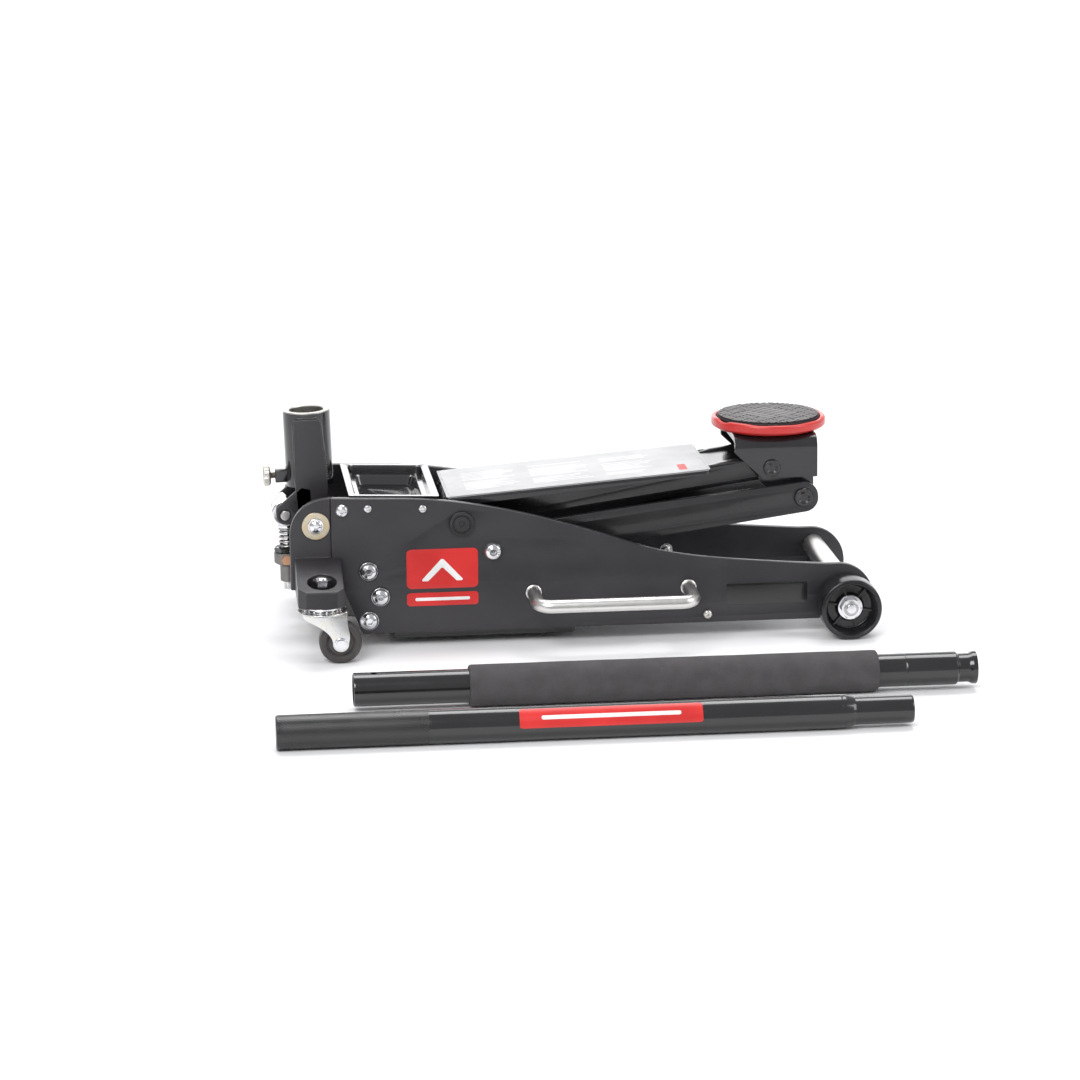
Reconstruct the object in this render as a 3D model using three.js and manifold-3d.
// Hydraulic floor jack with a two-piece pump handle lying beside it.
// Millimetres, +Z up, +X towards the front wheels, +Y towards the jack's left side.
// The jack is laid out from the rear edge of its side plates (x = 0), its centre plane (y = 0)
// and the floor (z = 0); the last lines move the origin to the bottom centre of the whole.

import * as THREE from "three";
import { mergeVertices } from "three/addons/utils/BufferGeometryUtils.js";
import Module from "manifold-3d";

const wasm = await Module();
wasm.setup();

// ---------------------------------------------------------------- driving dimensions

const gap = 0.3; // air between two pieces that touch
const running = 0.4; // radial play of a shaft in its hole
const beyond = 1000; // reach of a cut that goes right through

// Side plates
const halfWidth = 101; // centre plane to the outer face of a side plate
const plateThickness = 10;
const plateBottom = 17.5;
const rearHeight = 184;
const noseHeight = 84.5;
const noseBack = 9; // nose arc's centre behind the axle
const noseRadius = 42.5;
const shoulderX = 130; // top edge starts to fall
const shoulderDrop = 3;
const waistX = 415; // top edge turns level again
const waistRise = 30.5; // over the nose height
const plateChamfer = 1.2;
const seamX = 48.5; // rear casting ends and side plate begins
const heelX = 84; // rear end of the plate's bottom edge
const heelTop = 72;

// Front axle and wheels
const axleX = 665;
const axleRadius = 9;
const wheelRadius = 37.4;
const wheelWidth = 38;
const wheelGap = 4;
const dishRadius = 30.5;
const dishDepth = 20;
const wheelHubRadius = 15;
const wheelHubDepth = 14;
const wheelNutSize = 24;
const crossTubeRadius = 13;
const crossTubeRise = 25.6; // over the axle

// Rear casting and casters
const earWidth = 54;
const earStart = 5;
const earReach = 79; // how far an ear stands out from the side plate
const earRoot = 42; // ear's height at the plate
const earTip = 20; // ear's height at its outer end
const earChamfer = 9;
const counterboreRadius = 17;
const counterboreFloor = 13; // over the ear's bottom
const kingpinX = 34;
const kingpinReach = 55; // from the plate's outer face
const kingpinRadius = 6;
const kingpinNutTop = 31; // over the ear's bottom
const casterRadius = 25;
const casterWidth = 22;
const casterTrail = 20;
const casterHeadroom = 20; // from the top of the wheel to the ear
const casterAxleRadius = 4;
const casterNutSize = 12;
const forkGauge = 2.5;
const forkClearance = 1.2;

// Lift arm, lower link and saddle carrier (a parallelogram A-C over B-D)
const pivotA = { x: 203, z: 149 };
const armSpan = 381;
const armAngle = 7; // degrees above level as built
const linkOffset = { x: 37, z: -35 }; // from A to B and from C to D
const shaftRadius = 13;
const hubWall = 9;
const armInner = 36; // centre plane to the inner face of an arm plate
const armGauge = 9;
const armDepthRear = 28;
const armDepthFront = 16;
const coverClearance = 13; // to the side plates
const coverGauge = 3;
const coverSlope = 4.4;
const coverOverHub = 5;
const coverBack = 15; // how far the cover reaches behind A
const coverShort = 78; // cover ends this far behind C
const skirtRear = 11;
const skirtFront = 6;
const linkGauge = 7;
const linkDepth = 18; // half depth at the front end
const linkDepthRear = 20;
const linkClearance = 4.2; // between the carrier and a link bar
const linkBoltRadius = 9;
const linkShankRadius = 7;
const pinC = 9;
const pinD = 10;
const openPivotPlay = 1; // radial play of D's pin in the carrier's ears

// Saddle carrier and saddle
const carrierHalfWidth = 60;
const carrierGauge = 8;
const carrierRear = 44.5; // behind C
const carrierFront = 55.5; // ahead of C
const carrierTop = 38.5; // over C
const carrierBend = 15;
const carrierSkirt = 12.5; // wall below C
const saddleRadius = 69;
const saddleHeight = 14;
const padRadius = 61.8;
const padHeight = 6;
const saddleStemRadius = 15;
const saddleAhead = 5; // saddle centre ahead of C

// Hydraulic unit
const crankLength = 58; // A down to the crosshead pin's line
const crankRatio = 62; // rod travel in mm for each radian of the arm
const crosshead = { angle: -10.5, pinRadius: 8, halfLength: 13 };
const crankHalfWidth = 12;
const leverInner = 15;
const leverOuter = 23;
const slotPlay = 1.6;
const slotWall = 3; // below the slot, at the crank's tip
const cylinderRadius = 26;
const cylinderBore = 16.5;
const cylinderFront = 150;
const blockRear = 20;
const pumpBossRadius = 16.5; // round the gland
const pumpBossHeight = 14;
const pumpBarrelRadius = 9.5; // under the boss
const pumpBarrelLength = 36;
const blockFront = 118;
const blockTop = 98;
const blockBottom = 24;
const blockHalfWidth = 42;
const rodRadius = 13;
const lugRadius = 15;
const lugs = [[92, 94.3], [105.7, 62.7], [92.1, 38.8]];
const releaseY = 30;
const releaseZ = 52;
const releaseRadius = 5;

// Handle socket, thumb screw and pump
const socketPivot = { x: 30.6, z: 151.6 };
const socketLean = 1.75; // degrees, backwards
const socketRadius = 28.4;
const socketPlay = 1.45; // round the handle tube
const socketTop = 120.5; // over the pivot, along the socket
const socketBottom = 29;
const cheekGauge = 6.5;
const trunnionRadius = 13;
const trunnionShort = 9; // trunnion ends this far inside a side plate
const socketBoltRadius = 8;
const socketBoltShoulder = 10;
const socketBoltDepth = 18;
const rollerArm = 32.6; // pivot to roller pin
const rollerDrop = 2.8; // degrees below level at rest
const rollerRadius = 16;
const rollerHalfLength = 24;
const rollerPinRadius = 6;
const thumbHeight = 42; // over the pivot
const thumbReach = 13; // boss beyond the socket
const thumbThread = 4;
const plungerX = 1;
const plungerRadius = 6;
const plungerFlange = 6; // cap's edge beyond the plunger
const plungerCap = 5;
const plungerRest = 0.7; // air under the roller
const glandHeight = 6; // over the valve block
const glandDepth = 12;
const glandRadius = 13;
const springWire = 1.4;
const springTurns = 5;

// Tool tray
const trayRear = 71;
const trayClearance = 10; // to the arm's cover
const trayLift = 0.5; // over the side plates
const trayFall = 2.1; // degrees, down to the front
const trayRim = 8;
const trayStep = 9;
const trayDepth = 25;
const trayGauge = 2;

// Bottom pan
const panRear = 122;
const panLength = 216;
const panBottom = 8;
const panHeight = 14;
const panGauge = 3;

// Carry handles
const gripX = 381; // middle of the grip
const gripSpacing = 186;
const gripZ = 62;
const gripReach = 60;
const gripDrop = 3;
const gripBend = 15;
const gripRadius = 8;

// Pump handle halves
const tubeRadius = 19.05;
const tubeWall = 1.8;
const spigotPlay = 1.65; // in the lower half's bore
const grooveDepth = 2.55;
const upperStart = -36.9;
const upperLength = 700;
const upperY = -509;
const spigotLength = 65;
const lowerStart = 56;
const lowerLength = 709;
const lowerY = -366;
const foamThickness = 4.8;
const foamStart = 130; // from the lower half's open end
const foamLength = 465;
const buttonRadius = 4;
const buttonFromEnd = 24;

// ---------------------------------------------------------------- geometry helpers

const rad = THREE.MathUtils.degToRad;

// Sides of a round, by how large and how visible it is.
const fine = 30;
const medium = 16;
const small = 10;

function solidOf(geometry) {
  const bare = geometry.clone();
  bare.deleteAttribute("normal");
  bare.deleteAttribute("uv");
  const merged = mergeVertices(bare, 1e-4);
  return new wasm.Manifold(
    new wasm.Mesh({
      numProp: 3,
      vertProperties: merged.attributes.position.array,
      triVerts: new Uint32Array(merged.index.array),
    }),
  );
}

function geometryOf(solid) {
  const mesh = solid.getMesh();
  const geometry = new THREE.BufferGeometry();
  geometry.setAttribute("position", new THREE.BufferAttribute(mesh.vertProperties, 3));
  geometry.setIndex(new THREE.BufferAttribute(mesh.triVerts, 1));
  geometry.computeVertexNormals();
  return geometry;
}

// Joins the first list of geometries and cuts the second list out of them.
function shaped(joined, cuts = []) {
  let solid = solidOf(joined[0]);
  for (const piece of joined.slice(1)) solid = solid.add(solidOf(piece));
  for (const piece of cuts) solid = solid.subtract(solidOf(piece));
  return geometryOf(solid);
}

function block(x0, x1, y0, y1, z0, z1) {
  const geometry = new THREE.BoxGeometry(x1 - x0, y1 - y0, z1 - z0);
  return geometry.translate((x0 + x1) / 2, (y0 + y1) / 2, (z0 + z1) / 2);
}

// A round bar along one axis; centre holds the two coordinates across it, in x, y, z order.
function bar(axis, radius, from, to, centre, sides = medium) {
  const geometry = new THREE.CylinderGeometry(radius, radius, to - from, sides);
  geometry.translate(0, (from + to) / 2, 0);
  const [a, b] = centre;
  if (axis === "x") return geometry.rotateZ(-Math.PI / 2).translate(0, a, b);
  if (axis === "z") return geometry.rotateX(Math.PI / 2).translate(a, b, 0);
  return geometry.translate(a, 0, b);
}

// A profile of [radius, along] pairs, in either direction, turned about one axis.
function turned(axis, profile, centre, sides = fine) {
  const points = profile.map(([r, along]) => new THREE.Vector2(r, along));
  if (THREE.ShapeUtils.area(points) < 0) points.reverse();
  const geometry = new THREE.LatheGeometry(points, sides);
  const [a, b] = centre;
  if (axis === "x") return geometry.rotateZ(-Math.PI / 2).translate(0, a, b);
  if (axis === "z") return geometry.rotateX(Math.PI / 2).translate(a, b, 0);
  return geometry.translate(a, 0, b);
}

// An outline from corners [across, up, radius]; a corner with a radius becomes an arc.
function outline(corners) {
  const shape = new THREE.Shape();
  corners.forEach(([x, y, radius = 0], i) => {
    const corner = new THREE.Vector2(x, y);
    const before = corners[(i + corners.length - 1) % corners.length];
    const after = corners[(i + 1) % corners.length];
    const toBefore = new THREE.Vector2(before[0] - x, before[1] - y).normalize();
    const toAfter = new THREE.Vector2(after[0] - x, after[1] - y).normalize();
    if (!radius) {
      if (i) shape.lineTo(x, y);
      else shape.moveTo(x, y);
      return;
    }
    const half = Math.acos(THREE.MathUtils.clamp(toBefore.dot(toAfter), -1, 1)) / 2;
    const start = corner.clone().addScaledVector(toBefore, radius / Math.tan(half));
    const middle = toBefore.clone().add(toAfter).normalize();
    const centre = corner.clone().addScaledVector(middle, radius / Math.sin(half));
    const end = corner.clone().addScaledVector(toAfter, radius / Math.tan(half));
    const clockwise = toBefore.cross(toAfter) > 0;
    if (i) shape.lineTo(start.x, start.y);
    else shape.moveTo(start.x, start.y);
    const from = Math.atan2(start.y - centre.y, start.x - centre.x);
    const to = Math.atan2(end.y - centre.y, end.x - centre.x);
    shape.absarc(centre.x, centre.y, radius, from, to, clockwise);
  });
  shape.closePath();
  return shape;
}

// An x-z outline as a plate from y0 to y1, with an optional chamfer on its edges.
function plate(shape, y0, y1, chamfer = 0, segments = 3) {
  const geometry = new THREE.ExtrudeGeometry(shape, {
    depth: y1 - y0 - 2 * chamfer,
    bevelEnabled: chamfer > 0,
    bevelThickness: chamfer,
    bevelSize: chamfer,
    bevelOffset: -chamfer,
    bevelSegments: 1,
    curveSegments: segments,
  });
  return geometry.rotateX(Math.PI / 2).translate(0, y1 - chamfer, 0);
}

// The same for an outline in y-z, run from x0 to x1.
function rail(shape, x0, x1, segments = 3) {
  const settings = { depth: x1 - x0, bevelEnabled: false, curveSegments: segments };
  const geometry = new THREE.ExtrudeGeometry(shape, settings);
  return geometry.rotateX(Math.PI / 2).rotateZ(Math.PI / 2).translate(x0, 0, 0);
}

// A hexagonal prism along one axis, by its size across flats.
function hexagon(axis, acrossFlats, from, to, centre) {
  return bar(axis, acrossFlats / Math.sqrt(3), from, to, centre, 6);
}

// The mirror image on the other side of the centre plane, with its faces turned round again.
function mirroredY(geometry) {
  const copy = geometry.clone().scale(1, -1, 1);
  const order = copy.index.array;
  for (let i = 0; i < order.length; i += 3) [order[i], order[i + 1]] = [order[i + 1], order[i]];
  copy.computeVertexNormals();
  return copy;
}

// ---------------------------------------------------------------- materials and scene

function finish(color, roughness, metalness) {
  return new THREE.MeshStandardMaterial({ color, roughness, metalness });
}

const charcoal = finish(0x3a383c, 0.5, 0.3);
const glossBlack = finish(0x111113, 0.22, 0.2);
const zinc = finish(0xc9ccd0, 0.3, 0.9);
const steel = finish(0x9a9a9c, 0.35, 1);
const blackRubber = finish(0x2a2a2b, 0.9, 0);
const labelGrey = finish(0xd9d9d9, 0.5, 0);
const saddleRed = finish(0xd8302c, 0.4, 0.1);
const satinSilver = finish(0xc4c2bc, 0.35, 1);
const foamGrey = finish(0x4a4748, 0.95, 0);

const jack = new THREE.Group();

function add(name, geometry, material, parent = jack) {
  const mesh = new THREE.Mesh(geometry, material);
  mesh.name = name;
  parent.add(mesh);
  return mesh;
}

// Adds one piece on the right side (towards -Y) and its mirror image on the left.
function addPair(name, geometry, material) {
  add(`${name}_right`, geometry, material);
  add(`${name}_left`, mirroredY(geometry), material);
}

// ---------------------------------------------------------------- derived places

const plateInner = halfWidth - plateThickness;
const angle = rad(armAngle);
const pivotC = { x: pivotA.x + armSpan * Math.cos(angle), z: pivotA.z + armSpan * Math.sin(angle) };
const pivotB = { x: pivotA.x + linkOffset.x, z: pivotA.z + linkOffset.z };
const pivotD = { x: pivotC.x + linkOffset.x, z: pivotC.z + linkOffset.z };
const noseX = axleX - noseBack;
const earBottom = 2 * casterRadius + casterHeadroom;
const casterPivot = { x: kingpinX + casterTrail, z: casterRadius };
const coverHalfWidth = plateInner - coverClearance;
const trayTop = rearHeight + trayLift;
const trayLength = pivotA.x - coverBack - trayClearance - trayRear;
const hubRadius = shaftRadius + hubWall;
const coverRise = hubRadius + coverOverHub; // height of the cover's top over A
const armOuter = armInner + armGauge;
const wallInner = carrierHalfWidth - carrierGauge;
const linkInner = carrierHalfWidth + linkClearance;
const linkOuter = linkInner + linkGauge;
const wheelInner = halfWidth + wheelGap;
const wheelOuter = wheelInner + wheelWidth;
const kingpinY = halfWidth + kingpinReach;
const trunnionEnd = plateInner - trunnionShort;
const boltTip = trunnionEnd - socketBoltDepth;
const socketBore = tubeRadius + socketPlay;
const thumbBoss = socketRadius + thumbReach;
const rollerPinEnd = socketRadius + cheekGauge + 1;
const plungerCapRadius = plungerRadius + plungerFlange;
const pumpGlandTop = blockTop + glandHeight;
const lowerBore = tubeRadius - tubeWall;
const spigotRadius = lowerBore - spigotPlay;
const foamRadius = tubeRadius + foamThickness;

// ---------------------------------------------------------------- frame

function sidePlate() {
  const shape = new THREE.Shape();
  const shoulder = rearHeight - shoulderDrop;
  const waist = noseHeight + waistRise;
  const noseZ = noseHeight - noseRadius;
  const toe = noseZ - plateBottom;
  shape.moveTo(seamX, rearHeight);
  shape.lineTo(shoulderX, shoulder);
  shape.bezierCurveTo(shoulderX + 95, shoulder - 2.5, waistX - 85, waist + 31.5, waistX, waist);
  shape.bezierCurveTo(waistX + 50, waist - 17.5, noseX - 111, noseHeight + 7, noseX - 15, noseHeight);
  shape.absarc(noseX, noseZ, noseRadius, Math.PI / 2, 0, true);
  shape.absarc(noseX + noseRadius - toe, plateBottom + toe, toe, 0, -Math.PI / 2, true);
  shape.lineTo(heelX, plateBottom);
  shape.lineTo(heelX - 22, heelTop);
  shape.lineTo(seamX, heelTop);
  shape.closePath();
  const y0 = -halfWidth;
  const y1 = -plateInner;
  const hole = (radius, p) => bar("y", radius, y0 - 5, y1 + 5, [p.x, p.z]);
  return shaped(
    [plate(shape, y0, y1, plateChamfer, 6)],
    [
      hole(shaftRadius + running, pivotA),
      hole(linkShankRadius + running, pivotB),
      hole(axleRadius + running, { x: axleX, z: wheelRadius }),
    ],
  );
}
addPair("side_plate", sidePlate(), charcoal);

// The rear casting closes the plate's rear end, carries the socket pivot and holds a caster.
function rearCasting() {
  const cornerRadius = 44;
  const cheek = outline([
    [0, earBottom + 4],
    [seamX - gap, earBottom + 4],
    [seamX - gap, rearHeight],
    [0, rearHeight, cornerRadius],
  ]);
  const earEnd = halfWidth + earReach;
  const ear = outline([
    [-earEnd, earBottom],
    [-halfWidth + 3, earBottom],
    [-halfWidth + 3, earBottom + earRoot + 1],
    [-halfWidth - 6, earBottom + earRoot],
    [-earEnd, earBottom + earTip, 2],
  ]);
  const cornerCut = (x) => {
    const wedge = new THREE.CylinderGeometry(earChamfer, earChamfer, 2 * earRoot, 4);
    return wedge.rotateX(Math.PI / 2).translate(x, -earEnd, earBottom);
  };
  return shaped(
    [
      plate(cheek, -halfWidth, -plateInner, plateChamfer, 5),
      rail(ear, earStart, earStart + earWidth),
      block(20, trayRear - 4, -plateInner - gap - 1, -plateInner + 8, earBottom + 20, rearHeight - 12),
    ],
    [
      block(seamX - gap, beyond, -halfWidth - gap, -plateInner + gap, 0, beyond),
      cornerCut(earStart),
      cornerCut(earStart + earWidth),
      bar("z", kingpinRadius + running, 0, beyond, [kingpinX, -kingpinY]),
      bar("z", counterboreRadius, earBottom + counterboreFloor, beyond, [kingpinX, -kingpinY]),
      bar("y", socketBoltShoulder + running, -beyond, -plateInner + 12, [socketPivot.x, socketPivot.z]),
    ],
  );
}
addPair("rear_casting", rearCasting(), charcoal);

function tray() {
  const x1 = trayRear + trayLength;
  const y = plateInner - 0.6;
  const top = trayTop;
  const well = trayRim;
  const inner = trayRim + trayStep;
  const pan = shaped(
    [
      block(trayRear, x1, -y, y, top - trayGauge, top),
      block(trayRear + well - trayGauge, x1 - well + trayGauge, -y + well, y - well, top - 12, top - 1),
      block(
        trayRear + inner - trayGauge, x1 - inner + trayGauge, -y + inner, y - inner, top - trayDepth, top - 8,
      ),
      block(trayRear + 6, x1 - 6, -y, -y + trayGauge, top - 22, top - 1),
      block(trayRear + 6, x1 - 6, y - trayGauge, y, top - 22, top - 1),
    ],
    [
      block(trayRear + well, x1 - well, -y + well + trayGauge, y - well - trayGauge, top - 10, top + 1),
      block(
        trayRear + inner, x1 - inner, -y + inner + trayGauge, y - inner - trayGauge,
        top - trayDepth + trayGauge, top,
      ),
    ],
  );
  return pan.translate(-trayRear, 0, -trayTop).rotateY(rad(trayFall)).translate(trayRear, 0, trayTop);
}
add("tool_tray", tray(), glossBlack);

function bottomPan() {
  const y = plateInner - gap;
  const top = panBottom + panHeight;
  const profile = outline([
    [-y, panBottom],
    [y, panBottom],
    [y, top],
    [y - panGauge, top],
    [y - panGauge, panBottom + panGauge],
    [-y + panGauge, panBottom + panGauge],
    [-y + panGauge, top],
    [-y, top],
  ]);
  return rail(profile, panRear, panRear + panLength);
}
add("bottom_pan", bottomPan(), glossBlack);

const crossTubeAt = [noseX + 3, wheelRadius + crossTubeRise];
add(
  "front_cross_tube",
  bar("y", crossTubeRadius, -plateInner + gap, plateInner - gap, crossTubeAt),
  satinSilver,
);

const axleEnd = wheelOuter - 5;
add(
  "front_axle",
  shaped([
    bar("y", axleRadius, -axleEnd, axleEnd, [axleX, wheelRadius], medium),
    bar("y", axleRadius + 3, -plateInner + gap, plateInner - gap, [axleX, wheelRadius], medium),
  ]),
  steel,
);

function frontWheel() {
  const out = -wheelOuter;
  const inn = -wheelInner;
  const edge = 2.5;
  const bore = axleRadius + running;
  const profile = [
    [bore, inn],
    [wheelRadius - edge, inn],
    [wheelRadius, inn - edge],
    [wheelRadius, out + edge],
    [wheelRadius - edge, out],
    [dishRadius, out],
    [dishRadius - 3, out + dishDepth],
    [wheelHubRadius, out + dishDepth],
    [wheelHubRadius, out + wheelHubDepth],
    [bore, out + wheelHubDepth],
    [bore, inn],
  ];
  return shaped([turned("y", profile, [axleX, wheelRadius], fine)]);
}
addPair("front_wheel", frontWheel(), blackRubber);

const nutThread = bar("y", axleRadius + gap, -beyond, beyond, [axleX, wheelRadius]);
addPair(
  "wheel_nut",
  shaped(
    [hexagon("y", wheelNutSize, -wheelOuter + 6, -wheelOuter + 13.5, [axleX, wheelRadius])],
    [nutThread],
  ),
  zinc,
);

// ---------------------------------------------------------------- casters

function casterFork() {
  const y = -kingpinY;
  const axle = casterPivot;
  const inner = casterWidth / 2 + forkClearance;
  const rear = kingpinX - 24;
  const front = kingpinX + 28;
  const crown = [
    [0, earBottom - 9],
    [27, earBottom - 9],
    [30, earBottom - 7],
    [0, earBottom - 5],
  ];
  const side = outline([
    [rear, earBottom - 13],
    [axle.x - 9, axle.z - 9, 9],
    [axle.x + 9, axle.z - 9, 9],
    [front, earBottom - 13],
    [front, earBottom - 6],
    [rear, earBottom - 6],
  ]);
  return shaped(
    [
      turned("z", crown, [kingpinX, y], medium),
      plate(side, y - inner - forkGauge, y - inner),
      plate(side, y + inner, y + inner + forkGauge),
      block(rear, front, y - inner - 1, y + inner + 1, earBottom - 9, earBottom - 6),
    ],
    [
      bar("z", kingpinRadius + running, 0, beyond, [kingpinX, y], small),
      bar("y", casterAxleRadius + running, y - 40, y + 40, [axle.x, axle.z], small),
    ],
  );
}
addPair("caster_fork", casterFork(), zinc);

function casterWheel() {
  const y = -kingpinY;
  const half = casterWidth / 2;
  const profile = [
    [casterAxleRadius + running, y + half],
    [casterRadius - 3, y + half],
    [casterRadius, y + half - 4],
    [casterRadius, y - half + 4],
    [casterRadius - 3, y - half],
    [casterRadius - 6, y - half],
    [casterRadius - 8, y - half + 3],
    [9, y - half + 3],
    [8, y - half],
    [casterAxleRadius + running, y - half],
    [casterAxleRadius + running, y + half],
  ];
  return shaped([turned("y", profile, [casterPivot.x, casterPivot.z], fine)]);
}
addPair("caster_wheel", casterWheel(), blackRubber);

function casterAxle() {
  const y = -kingpinY;
  const reach = casterWidth / 2 + forkClearance + forkGauge + gap;
  const centre = [casterPivot.x, casterPivot.z];
  return shaped([
    bar("y", casterAxleRadius, y - reach - 1, y + reach + 1, centre, small),
    hexagon("y", casterNutSize, y - reach - 5, y - reach, centre),
    hexagon("y", casterNutSize, y + reach, y + reach + 4, centre),
  ]);
}
addPair("caster_axle", casterAxle(), zinc);

// The kingpin holds the upper race under the ear; its nut sits in the ear's counterbore.
function kingpin() {
  const centre = [kingpinX, -kingpinY];
  return shaped([
    bar("z", kingpinRadius, earBottom - 12, earBottom + kingpinNutTop + 3, centre, small),
    bar("z", 22, earBottom - 5 + gap, earBottom - gap, centre, medium),
    bar("z", 9, earBottom - 13, earBottom - 9 - gap, centre, small),
    hexagon("z", 19, earBottom + counterboreFloor + gap, earBottom + kingpinNutTop, centre),
  ]);
}
addPair("caster_kingpin", kingpin(), zinc);

// ---------------------------------------------------------------- carry handles

// A round bar bent out, along and back; its ends stand just off the side plate.
function carryHandle() {
  const standOff = 0.8;
  const x0 = gripX - gripSpacing / 2;
  const x1 = gripX + gripSpacing / 2;
  const out = -halfWidth - gripReach;
  const at = (x, y) => {
    const t = (-y - halfWidth) / gripReach;
    return new THREE.Vector3(x, y, gripZ - gripDrop * t);
  };
  const path = new THREE.CurvePath();
  const straight = (a, b) => path.add(new THREE.LineCurve3(a, b));
  const corner = (a, b, c) => path.add(new THREE.QuadraticBezierCurve3(a, b, c));
  straight(at(x0, -halfWidth - standOff), at(x0, out + gripBend));
  corner(at(x0, out + gripBend), at(x0, out), at(x0 + gripBend, out));
  straight(at(x0 + gripBend, out), at(x1 - gripBend, out));
  corner(at(x1 - gripBend, out), at(x1, out), at(x1, out + gripBend));
  straight(at(x1, out + gripBend), at(x1, -halfWidth - standOff));
  const section = new THREE.Shape().absarc(0, 0, gripRadius, 0, 2 * Math.PI, false);
  const settings = { steps: 30, extrudePath: path, curveSegments: 4 };
  return shaped([new THREE.ExtrudeGeometry(section, settings)]);
}
addPair("carry_handle", carryHandle(), satinSilver);

// ---------------------------------------------------------------- lift arm

function turnedBy(degrees, centre, geometry) {
  return geometry
    .translate(-centre.x, 0, -centre.z)
    .rotateY(-rad(degrees))
    .translate(centre.x, 0, centre.z);
}

// The arm is drawn level and turned up about A; its crank hangs straight down at half travel.
function liftArm() {
  const a = pivotA;
  const hubReach = coverHalfWidth - coverGauge - 1;
  const front = a.x + armSpan;
  const side = () =>
    outline([
      [a.x - 14, a.z - armDepthRear, 12],
      [front - 236, a.z - armDepthRear],
      [front - 91, a.z - armDepthFront - 1],
      [front + armDepthFront, a.z - armDepthFront, 15],
      [front + armDepthFront, a.z + 13, 12],
      [front - 60, a.z + 12],
      [front - 81, a.z + 9],
      [a.x - 14, a.z + coverRise - coverGauge - 3, 10],
    ]);
  const crankTip = crankLength + 21;
  const crank = outline([
    [a.x - crankHalfWidth, a.z - crankTip, 10],
    [a.x + crankHalfWidth, a.z - crankTip, 10],
    [a.x + hubRadius, a.z],
    [a.x - hubRadius, a.z],
  ]);
  const slotHalf = crosshead.pinRadius + slotPlay;
  const slot = outline([
    [a.x - slotHalf, a.z - crankTip + slotWall, slotHalf],
    [a.x + slotHalf, a.z - crankTip + slotWall, slotHalf],
    [a.x + slotHalf, a.z - crankLength + 12],
    [a.x - slotHalf, a.z - crankLength + 12],
  ]);
  const lever = (y0, y1) =>
    turnedBy(crosshead.angle - armAngle, a, plate(crank, y0, y1));
  const body = shaped(
    [
      bar("y", hubRadius, -hubReach, hubReach, [a.x, a.z]),
      bar("y", shaftRadius + 2, -plateInner + 1, plateInner - 1, [a.x, a.z]),
      plate(side(), -armOuter, -armInner),
      plate(side(), armInner, armOuter),
      block(a.x + 60, front - 90, -armOuter + 1, armOuter - 1, a.z - 6, a.z + 2),
      block(front - 91, front - 28, -armOuter + 1, armOuter - 1, a.z + 4, a.z + 9),
      block(front - 92, front - 86, -armOuter + 1, armOuter - 1, a.z - 6, a.z + 9),
      lever(-leverOuter, -leverInner),
      lever(leverInner, leverOuter),
    ],
    [
      bar("y", shaftRadius + running, -beyond, beyond, [a.x, a.z]),
      bar("y", pinC + running, -beyond, beyond, [front, a.z]),
      turnedBy(crosshead.angle - armAngle, a, plate(slot, -30, 30)),
    ],
  );
  return turnedBy(armAngle, a, body);
}
add("lift_arm", liftArm(), glossBlack);

// The cover is a folded sheet over the arm, with a skirt that gets shallower to the front.
function armCover() {
  const x0 = pivotA.x - coverBack;
  const x1 = pivotA.x + armSpan - coverShort;
  const top = pivotA.z + coverRise;
  const skirt = () =>
    outline([
      [x0, top - skirtRear],
      [x1, top - skirtFront],
      [x1, top],
      [x0, top],
    ]);
  const y = coverHalfWidth;
  const sheet = shaped([
    block(x0, x1, -y, y, top - coverGauge, top),
    plate(skirt(), -y, -y + coverGauge),
    plate(skirt(), y - coverGauge, y),
  ]);
  return turnedBy(coverSlope, { x: pivotA.x, z: top }, sheet);
}
add("arm_cover", armCover(), labelGrey);

// The main shaft has a shallow cap on each end, outside the side plates.
function mainShaft() {
  const centre = [pivotA.x, pivotA.z];
  const face = halfWidth + gap;
  const end = halfWidth + 5;
  const cap = (side) =>
    turned(
      "y",
      [
        [0, side * face],
        [shaftRadius + 2, side * face],
        [shaftRadius + 2, side * (end - 2)],
        [shaftRadius, side * end],
        [0, side * end],
      ],
      centre,
    );
  return shaped([bar("y", shaftRadius, -face - 1, face + 1, centre), cap(-1), cap(1)]);
}
add("main_shaft", mainShaft(), glossBlack);

// ---------------------------------------------------------------- lower link

function lowerLink() {
  const length = armSpan;
  const b = pivotB;
  const side = outline([
    [b.x - linkDepthRear, b.z - linkDepthRear, 17],
    [b.x + length * 0.5, b.z - linkDepthRear - 1],
    [b.x + length + linkDepth, b.z - linkDepth, linkDepth - 1],
    [b.x + length + linkDepth, b.z + linkDepth, linkDepth - 1],
    [b.x + length * 0.5, b.z + linkDepthRear + 1],
    [b.x - linkDepthRear, b.z + linkDepthRear, 17],
  ]);
  const body = shaped(
    [
      plate(side, -linkOuter, -linkInner),
      plate(side, linkInner, linkOuter),
      block(b.x + 90, b.x + length - 90, -linkInner - 2, linkInner + 2, b.z - 20, b.z - 15),
    ],
    [
      bar("y", linkBoltRadius + running, -beyond, beyond, [b.x, b.z]),
      bar("y", pinD + gap, -beyond, beyond, [b.x + length, b.z]),
    ],
  );
  return turnedBy(armAngle, b, body);
}
add("lower_link", lowerLink(), glossBlack);

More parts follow.
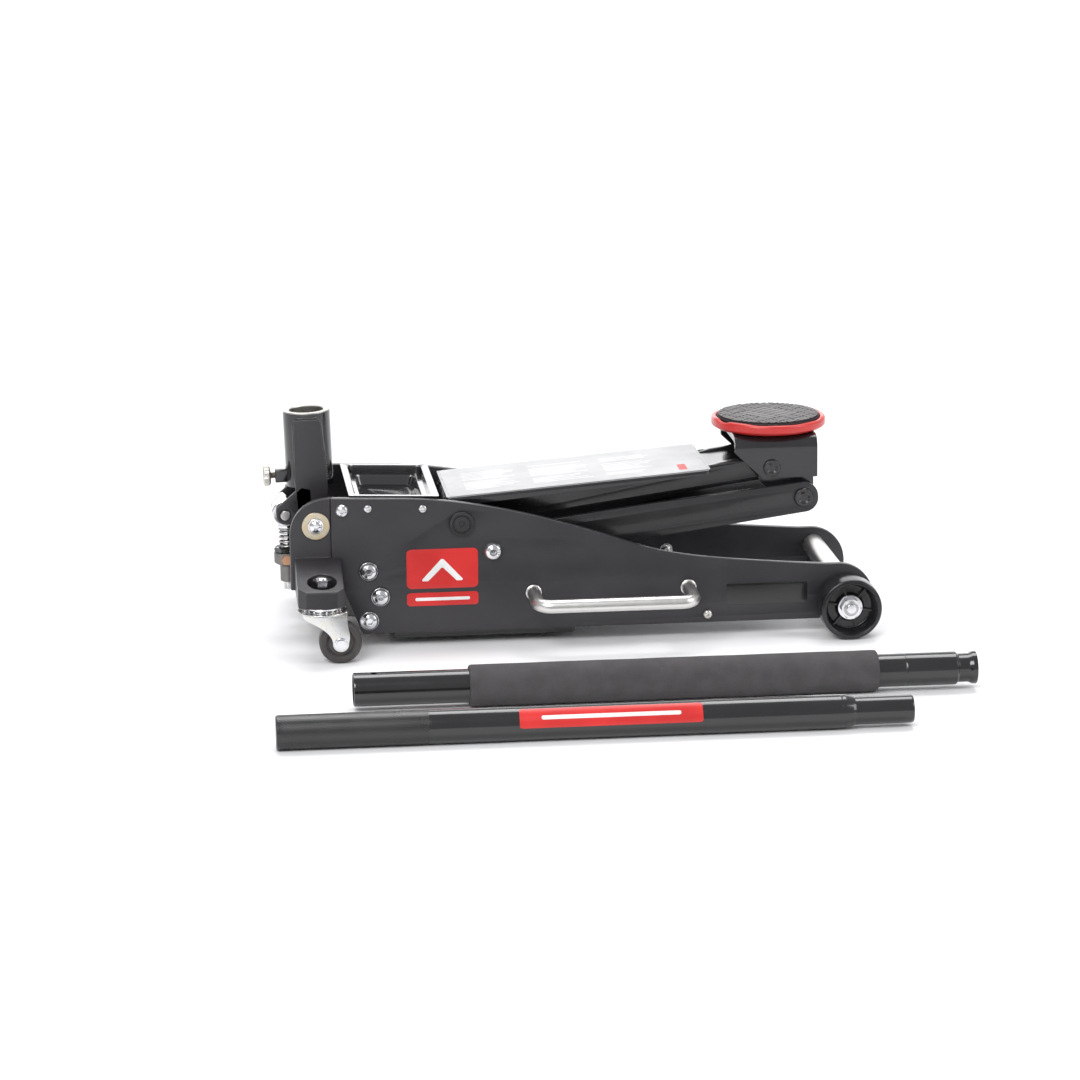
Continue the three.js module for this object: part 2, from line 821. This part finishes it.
// A shoulder bolt runs from the side plate into each rear end of the link.
function linkBolt() {
  const centre = [pivotB.x, pivotB.z];
  const head = [
    [0, -halfWidth - 8],
    [5, -halfWidth - 8],
    [9, -halfWidth - 4.5],
    [11, -halfWidth - gap],
    [0, -halfWidth - gap],
  ];
  return shaped([
    bar("y", linkBoltRadius, -plateInner + gap, -linkInner + 1, centre, small),
    bar("y", linkBoltRadius + 5, -plateInner + gap, -linkOuter - gap, centre, medium),
    bar("y", linkShankRadius, -halfWidth - 1, -plateInner + 1, centre, small),
    turned("y", head, centre, medium),
  ]);
}
addPair("link_bolt", linkBolt(), zinc);

// ---------------------------------------------------------------- saddle carrier

function saddleCarrier() {
  const rear = pivotC.x - carrierRear;
  const front = pivotC.x + carrierFront;
  const top = pivotC.z + carrierTop;
  const low = pivotC.z - carrierSkirt;
  const w = carrierHalfWidth;
  const hood = outline([
    [-w, low - 2],
    [-wallInner, low - 2],
    [-wallInner, top - carrierGauge, carrierBend - carrierGauge],
    [wallInner, top - carrierGauge, carrierBend - carrierGauge],
    [wallInner, low - 2],
    [w, low - 2],
    [w, top, carrierBend],
    [-w, top, carrierBend],
  ]);
  const trim = outline([
    [rear - 1, low + 31],
    [rear, low + 31],
    [rear + 33, low],
    [front + 1, low],
    [front + 1, low - 10],
    [rear - 1, low - 10],
  ]);
  const ear = () =>
    outline([
      [pivotC.x - 16, pivotC.z - 16, 15],
      [pivotD.x - 15, pivotD.z - 15, 14],
      [pivotD.x + 15, pivotD.z - 15, 14],
      [pivotD.x + 15, pivotC.z + 16],
      [pivotC.x - 16, pivotC.z + 16],
    ]);
  return shaped(
    [
      shaped([rail(hood, rear, front)], [plate(trim, -beyond, beyond)]),
      plate(ear(), -wallInner - 1, -armOuter - 1),
      plate(ear(), armOuter + 1, wallInner + 1),
    ],
    [
      bar("y", pinC + running, -beyond, beyond, [pivotC.x, pivotC.z]),
      bar("y", pinD + openPivotPlay, -beyond, beyond, [pivotD.x, pivotD.z]),
      bar("z", saddleStemRadius + running, 0, beyond, [pivotC.x + saddleAhead, 0]),
    ],
  );
}
add("saddle_carrier", saddleCarrier(), glossBlack);

// A pin with a low head on each end, from face to face of what it joins.
function headedPin(radius, face, pivot) {
  const centre = [pivot.x, pivot.z];
  return shaped([
    bar("y", radius, -face - 1, face + 1, centre),
    bar("y", radius + 1.5, -face - 3, -face, centre),
    bar("y", radius + 1.5, face, face + 3, centre),
  ]);
}
add("arm_pin", headedPin(pinC, carrierHalfWidth + gap, pivotC), glossBlack);
add("link_pin", headedPin(pinD, linkOuter + gap, pivotD), glossBlack);

// ---------------------------------------------------------------- saddle

const saddleCentre = [pivotC.x + saddleAhead, 0];
const saddleFloor = pivotC.z + carrierTop + 1;

function saddle() {
  const z = saddleFloor;
  const rim = z + saddleHeight;
  const seat = z + saddleHeight - 4;
  return shaped([
    turned(
      "z",
      [
        [0, z - 22],
        [saddleStemRadius, z - 22],
        [saddleStemRadius, z],
        [42, z],
        [saddleRadius - 4, z + 2],
        [saddleRadius, z + 6],
        [saddleRadius, rim - 3],
        [saddleRadius - 3, rim],
        [padRadius + 1.5, rim],
        [padRadius + 0.5, seat],
        [0, seat],
      ],
      saddleCentre,
      fine,
    ),
  ]);
}
add("saddle", saddle(), saddleRed);

const padBottom = saddleFloor + saddleHeight - 4 + gap;
add(
  "saddle_pad",
  turned(
    "z",
    [
      [0, padBottom],
      [padRadius, padBottom],
      [padRadius, padBottom + padHeight - 1.5],
      [padRadius - 1.5, padBottom + padHeight],
      [0, padBottom + padHeight],
    ],
    saddleCentre,
    fine,
  ),
  blackRubber,
);

// The retaining ring clips under the carrier's top and holds the saddle's stem.
function saddleRing() {
  const inner = saddleStemRadius + gap;
  const outer = saddleStemRadius + 4;
  const top = saddleFloor - 10;
  const bottom = top - 3;
  const profile = [
    [inner, bottom],
    [outer, bottom],
    [outer, top],
    [inner, top],
    [inner, bottom],
  ];
  return turned("z", profile, saddleCentre, medium);
}
add("saddle_ring", saddleRing(), zinc);

// ---------------------------------------------------------------- hydraulic unit

const rodZ = pivotA.z - crankLength;
const cylinderRear = 54;
const crossheadX = pivotA.x + crankRatio * rad(crosshead.angle);

function valveBlock() {
  const body = outline([
    [blockRear, blockBottom + 8, 6],
    [blockRear + 8, blockBottom],
    [blockFront, blockBottom],
    [blockFront, blockTop + 22, 8],
    [70, blockTop + 22, 8],
    [60, blockTop],
    [blockRear, blockTop, 6],
  ]);
  const pump = [plungerX, 0];
  const barrelFoot = blockTop - pumpBarrelLength;
  const joined = [
    plate(body, -blockHalfWidth, blockHalfWidth),
    bar("z", pumpBossRadius, blockTop - pumpBossHeight, blockTop, pump, medium),
    bar("z", pumpBarrelRadius, barrelFoot, blockTop - 1, pump, medium),
    block(plungerX, blockRear + 2, -7, 7, barrelFoot, blockTop),
  ];
  for (const place of lugs) {
    joined.push(bar("y", lugRadius, -plateInner + gap, plateInner - gap, place, small));
  }
  return shaped(joined, [
    bar("x", cylinderRadius + gap, cylinderRear, beyond, [0, rodZ]),
    bar("z", plungerRadius + running, blockTop - 32, beyond, [plungerX, 0], small),
    bar("z", glandRadius + gap, blockTop - glandDepth, beyond, [plungerX, 0], medium),
    bar("x", releaseRadius + running, -beyond, blockRear + 26, [releaseY, releaseZ], small),
  ]);
}
add("valve_block", valveBlock(), steel);

add(
  "ram_cylinder",
  turned(
    "x",
    [
      [0, cylinderRear + gap],
      [cylinderRadius, cylinderRear + gap],
      [cylinderRadius, cylinderFront - 2],
      [cylinderRadius - 2, cylinderFront],
      [cylinderBore, cylinderFront],
      [cylinderBore, cylinderRear + 6],
      [0, cylinderRear + 6],
    ],
    [0, rodZ],
    medium,
  ),
  glossBlack,
);

function pistonRod() {
  const block0 = crossheadX - crosshead.halfLength;
  const pinEnd = leverOuter + 1;
  const pin = bar("y", crosshead.pinRadius, -pinEnd, pinEnd, [crossheadX, rodZ], medium);
  return shaped([
    bar("x", rodRadius, 84, block0 + 1, [0, rodZ], medium),
    bar("x", cylinderBore - running, 84, 94, [0, rodZ], medium),
    block(
      block0, crossheadX + crosshead.halfLength, -leverInner + 2, leverInner - 2,
      rodZ - rodRadius, rodZ + rodRadius,
    ),
    pin,
  ]);
}
add("piston_rod", pistonRod(), steel);

function releaseValve() {
  const centre = [releaseY, releaseZ];
  const knob = blockRear - 6;
  return shaped([
    bar("x", releaseRadius, knob - 2, blockRear + 24, centre, small),
    bar("x", 9, knob - 14, knob, centre, medium),
    block(knob - 18, knob - 13, releaseY - 3, releaseY + 3, releaseZ - 8, releaseZ + 8),
  ]);
}
add("release_valve", releaseValve(), zinc);

// ---------------------------------------------------------------- pump

add(
  "pump_gland",
  shaped(
    [
      bar("z", glandRadius, blockTop - glandDepth + gap, blockTop + 1, [plungerX, 0], medium),
      hexagon("z", 2 * glandRadius + 2, blockTop + gap, pumpGlandTop, [plungerX, 0]),
    ],
    [bar("z", plungerRadius + running, 0, beyond, [plungerX, 0], small)],
  ),
  glossBlack,
);

const capTop = socketPivot.z - rollerArm * Math.sin(rad(rollerDrop)) - rollerRadius - plungerRest;

function pumpPlunger() {
  const cap = [
    [0, capTop - plungerCap],
    [plungerCapRadius, capTop - plungerCap],
    [plungerCapRadius, capTop - 1],
    [plungerCapRadius - 1, capTop],
    [0, capTop],
  ];
  return shaped([
    bar("z", plungerRadius, blockTop - 3, capTop - 1, [plungerX, 0], small),
    turned("z", cap, [plungerX, 0], medium),
  ]);
}
add("pump_plunger", pumpPlunger(), zinc);

// A coil spring of round wire between the gland and the plunger's cap.
function plungerSpring() {
  const wire = springWire;
  const coil = plungerRadius + 3.6;
  const turns = springTurns;
  const z0 = pumpGlandTop + wire + gap;
  const z1 = capTop - plungerCap - wire - gap;
  class Helix extends THREE.Curve {
    getPoint(t, target = new THREE.Vector3()) {
      const turn = 2 * Math.PI * turns * t;
      return target.set(plungerX + coil * Math.cos(turn), coil * Math.sin(turn), z0 + (z1 - z0) * t);
    }
  }
  const section = new THREE.Shape().absarc(0, 0, wire, 0, 2 * Math.PI, false);
  const settings = { steps: turns * 9, extrudePath: new Helix(), curveSegments: 3 };
  return shaped([new THREE.ExtrudeGeometry(section, settings)]);
}
add("plunger_spring", plungerSpring(), zinc);

// ---------------------------------------------------------------- handle socket

const socket = new THREE.Group();
socket.position.set(socketPivot.x, 0, socketPivot.z);
socket.rotation.y = -rad(socketLean);
jack.add(socket);

const rollerAngle = rad(180 + rollerDrop - socketLean);
const rollerAt = { x: rollerArm * Math.cos(rollerAngle), z: rollerArm * Math.sin(rollerAngle) };

// The socket's own frame has its origin at the pivot and +Z along the bore.
function handleSocket() {
  const cheekInner = socketRadius - 1;
  const cheek = () =>
    outline([
      [-17, -17, 16],
      [18, -17, 16],
      [20, 30],
      [14, socketTop - 7],
      [-17, socketTop - 7],
      [-19, 30],
    ]);
  const lobe = () =>
    outline([
      [rollerAt.x - 11, rollerAt.z - 11, 10.5],
      [0, -14],
      [0, 30],
      [-18, 32],
      [rollerAt.x - 11, rollerAt.z + 7, 8],
    ]);
  const outer = cheekInner + cheekGauge;
  return shaped(
    [
      bar("z", socketRadius, socketBottom, socketTop, [0, 0], fine),
      plate(cheek(), -outer, -cheekInner),
      plate(cheek(), cheekInner, outer),
      plate(lobe(), -outer, -cheekInner),
      plate(lobe(), cheekInner, outer),
      bar("y", trunnionRadius, -trunnionEnd, trunnionEnd, [0, 0], medium),
      bar("x", 8.5, -thumbBoss, -socketRadius + 4, [0, thumbHeight], medium),
    ],
    [
      bar("z", socketBore, socketBottom + 6, socketTop + 5, [0, 0], fine),
      bar("x", thumbThread + running, -beyond, 0, [0, thumbHeight], small),
      bar("y", socketBoltRadius + running, -beyond, -boltTip + 1, [0, 0], medium),
      bar("y", socketBoltRadius + running, boltTip - 1, beyond, [0, 0], medium),
      bar("y", rollerPinRadius + gap, -60, 60, [rollerAt.x, rollerAt.z], small),
    ],
  );
}
add("handle_socket", handleSocket(), glossBlack, socket);

add(
  "roller_pin",
  bar("y", rollerPinRadius, -rollerPinEnd, rollerPinEnd, [rollerAt.x, rollerAt.z], medium),
  zinc,
  socket,
);

add(
  "pump_roller",
  shaped(
    [bar("y", rollerRadius, -rollerHalfLength, rollerHalfLength, [rollerAt.x, rollerAt.z], medium)],
    [bar("y", rollerPinRadius + running, -60, 60, [rollerAt.x, rollerAt.z], small)],
  ),
  zinc,
  socket,
);

function thumbScrew() {
  const knob = -thumbBoss - 5.5;
  const profile = [
    [0, knob - 9],
    [10, knob - 9],
    [12.3, knob - 7.5],
    [12.3, knob - 1.5],
    [10, knob],
    [0, knob],
  ];
  return shaped([
    bar("x", thumbThread, knob - 0.5, -socketBore - 3, [0, thumbHeight], small),
    turned("x", profile, [0, thumbHeight], small),
  ]);
}
add("thumb_screw", thumbScrew(), zinc, socket);

// Pivot bolts run from the rear castings into the socket's trunnion.
function socketBolt() {
  const centre = [socketPivot.x, socketPivot.z];
  const shoulder = -plateInner + trunnionShort - 0.6;
  const head = [
    [0, -halfWidth - 7],
    [5, -halfWidth - 7],
    [8.5, -halfWidth - 4.5],
    [8.5, -halfWidth - 2],
    [0, -halfWidth - 2],
  ];
  return shaped([
    bar("y", socketBoltRadius, shoulder - 1, -boltTip, centre, medium),
    bar("y", socketBoltShoulder, -halfWidth - 1, shoulder, centre, medium),
    bar("y", 16.5, -halfWidth - 3, -halfWidth - gap, centre, medium),
    turned("y", head, centre, medium),
  ]);
}
addPair("socket_bolt", socketBolt(), zinc);

// ---------------------------------------------------------------- pump handle

// The lower half has a plain open end for the upper half and a grooved, flared end for the socket.
function handleLower() {
  const x0 = lowerStart;
  const x1 = lowerStart + lowerLength;
  const bore = lowerBore;
  const groove = tubeRadius - grooveDepth;
  const neck = groove - 2.5;
  const tube = turned(
    "x",
    [
      [bore, x0],
      [tubeRadius, x0],
      [tubeRadius, x1 - 24],
      [groove, x1 - 21],
      [groove, x1 - 9],
      [tubeRadius - 0.5, x1 - 5],
      [tubeRadius, x1],
      [neck, x1],
      [neck, x1 - 26],
      [bore, x1 - 32],
      [bore, x0],
    ],
    [lowerY, foamRadius],
    fine,
  );
  const at = [x0 + buttonFromEnd, lowerY];
  const buttonHole = bar("z", buttonRadius + 0.7, foamRadius, foamRadius + 40, at, small);
  return shaped([tube], [buttonHole]);
}
add("handle_lower", handleLower(), glossBlack);

add(
  "foam_sleeve",
  turned(
    "x",
    [
      [tubeRadius + gap, lowerStart + foamStart],
      [foamRadius - 1, lowerStart + foamStart],
      [foamRadius, lowerStart + foamStart + 1.5],
      [foamRadius, lowerStart + foamStart + foamLength - 1.5],
      [foamRadius - 1, lowerStart + foamStart + foamLength],
      [tubeRadius + gap, lowerStart + foamStart + foamLength],
      [tubeRadius + gap, lowerStart + foamStart],
    ],
    [lowerY, foamRadius],
    fine,
  ),
  foamGrey,
);

// The upper half has a knurled grip at one end and a reduced spigot at the other.
function handleUpper() {
  const x0 = upperStart;
  const x1 = upperStart + upperLength;
  const shoulder = x1 - spigotLength;
  const bore = spigotRadius - tubeWall;
  const tube = turned(
    "x",
    [
      [0, x0],
      [tubeRadius - 1, x0],
      [tubeRadius, x0 + 1],
      [tubeRadius, shoulder - 11],
      [spigotRadius, shoulder],
      [spigotRadius, x1],
      [bore, x1],
      [bore, shoulder - 4],
      [tubeRadius - tubeWall, shoulder - 15],
      [tubeRadius - tubeWall, x0 + 3],
      [0, x0 + 3],
    ],
    [upperY, tubeRadius],
    fine,
  );
  const at = [x1 - buttonFromEnd, tubeRadius];
  const hole = bar("y", buttonRadius + running, upperY, upperY + 40, at, small);
  return shaped([tube], [hole]);
}
add("handle_upper", handleUpper(), glossBlack);

// The sprung button stands out of the spigot and locks the two halves together.
const buttonX = upperStart + upperLength - buttonFromEnd;
add(
  "snap_button",
  shaped([
    bar("y", buttonRadius, upperY + 7, upperY + spigotRadius + 4, [buttonX, tubeRadius], small),
    bar("y", 6, upperY + 4, upperY + 8, [buttonX, tubeRadius], small),
  ]),
  zinc,
);

// ---------------------------------------------------------------- origin

const bounds = new THREE.Box3().setFromObject(jack);
const middle = bounds.getCenter(new THREE.Vector3());
jack.position.set(-middle.x, -middle.y, -bounds.min.z);

const floorJack = new THREE.Group();
floorJack.add(jack);

export default floorJack;
